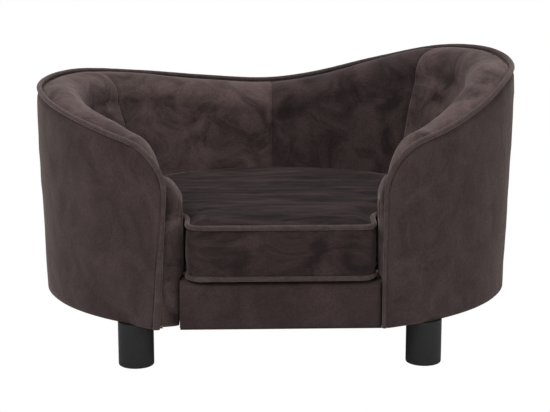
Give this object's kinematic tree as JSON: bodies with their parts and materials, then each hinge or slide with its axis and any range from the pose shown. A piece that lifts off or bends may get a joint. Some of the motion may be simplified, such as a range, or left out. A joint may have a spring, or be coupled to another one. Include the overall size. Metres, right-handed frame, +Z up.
{
  "type": "dog sofa bed",
  "caption": "Tub-shaped pet sofa with a wavy padded wall, welted edge, upholstered front rail, loose piped box cushion and round feet.",
  "frame": {"origin": "on the floor, in the middle of the sofa's width and depth", "axes": "+X to the sitter's left hand (the picture's right), -Y to the open front, +Z up"},
  "size_m": [0.6899, 0.5, 0.4001],
  "materials": {
    "plush": "dark brown brushed plush with a mottled nap",
    "piping": "dark brown plush over cord",
    "foam": "open-cell foam",
    "wadding": "polyester wadding",
    "plywood": "raw plywood",
    "fibreboard": "raw hardboard",
    "foot_plastic": "matte black",
    "steel": "zinc plated",
    "nonwoven": "black non-woven cloth",
    "zip_tape": "woven polyester tape",
    "zip_chain": "moulded coil",
    "zip_metal": "dark lacquered metal"
  },
  "bodies": {
    "sofa": {"outer_cover_right": "plush", "outer_cover_back": "plush", "outer_cover_left": "plush", "inner_cover_right": "plush", "inner_cover_back_right": "plush", "inner_cover_back_left": "plush", "inner_cover_left": "plush", "rail_cover": "plush", "welt": "piping", "arm_pad_right": "foam", "back_pad": "foam", "arm_pad_left": "foam", "arm_front_pad_right": "foam", "arm_front_pad_left": "foam", "rail_pad": "foam", "outer_wadding": "wadding", "rib_right_front": "plywood", "rib_right_middle": "plywood", "rib_right_side": "plywood", "rib_right_rear": "plywood", "rib_back": "plywood", "rib_left_rear": "plywood", "rib_left_side": "plywood", "rib_left_middle": "plywood", "rib_left_front": "plywood", "seat_bearer_left": "plywood", "seat_bearer_centre": "plywood", "seat_bearer_right": "plywood", "base_board": "plywood", "seat_deck": "plywood", "rail_board": "plywood", "outer_shell_board": "fibreboard", "inner_shell_board": "fibreboard", "foot_front_left": "foot_plastic", "foot_front_right": "foot_plastic", "foot_rear_left": "foot_plastic", "foot_rear_right": "foot_plastic", "foot_bolts": "steel", "tee_nuts": "steel", "rib_screws": "steel", "dust_cover_staples": "steel", "dust_cover": "nonwoven", "deck_cloth": "nonwoven"},
    "cushion": {"cushion_foam": "foam", "cushion_top_panel": "plush", "cushion_bottom_panel": "plush", "cushion_band": "plush", "cushion_piping_top": "piping", "cushion_piping_bottom": "piping", "zip_tape": "zip_tape", "zip_chain": "zip_chain"},
    "zip_slider": {"zip_slider": "zip_metal"}
  },
  "joints": [
    {"name": "cushion_lift", "type": "slide", "parent": "sofa", "child": "cushion", "axis": [0, 0, 1], "range_m": [0, 0.28]},
    {"name": "zip_slide", "type": "hinge", "parent": "cushion", "child": "zip_slider", "pos_m": [0, -0.139, 0.1678], "axis": [0, 0, -1], "range_deg": [0, 42]}
  ]
}
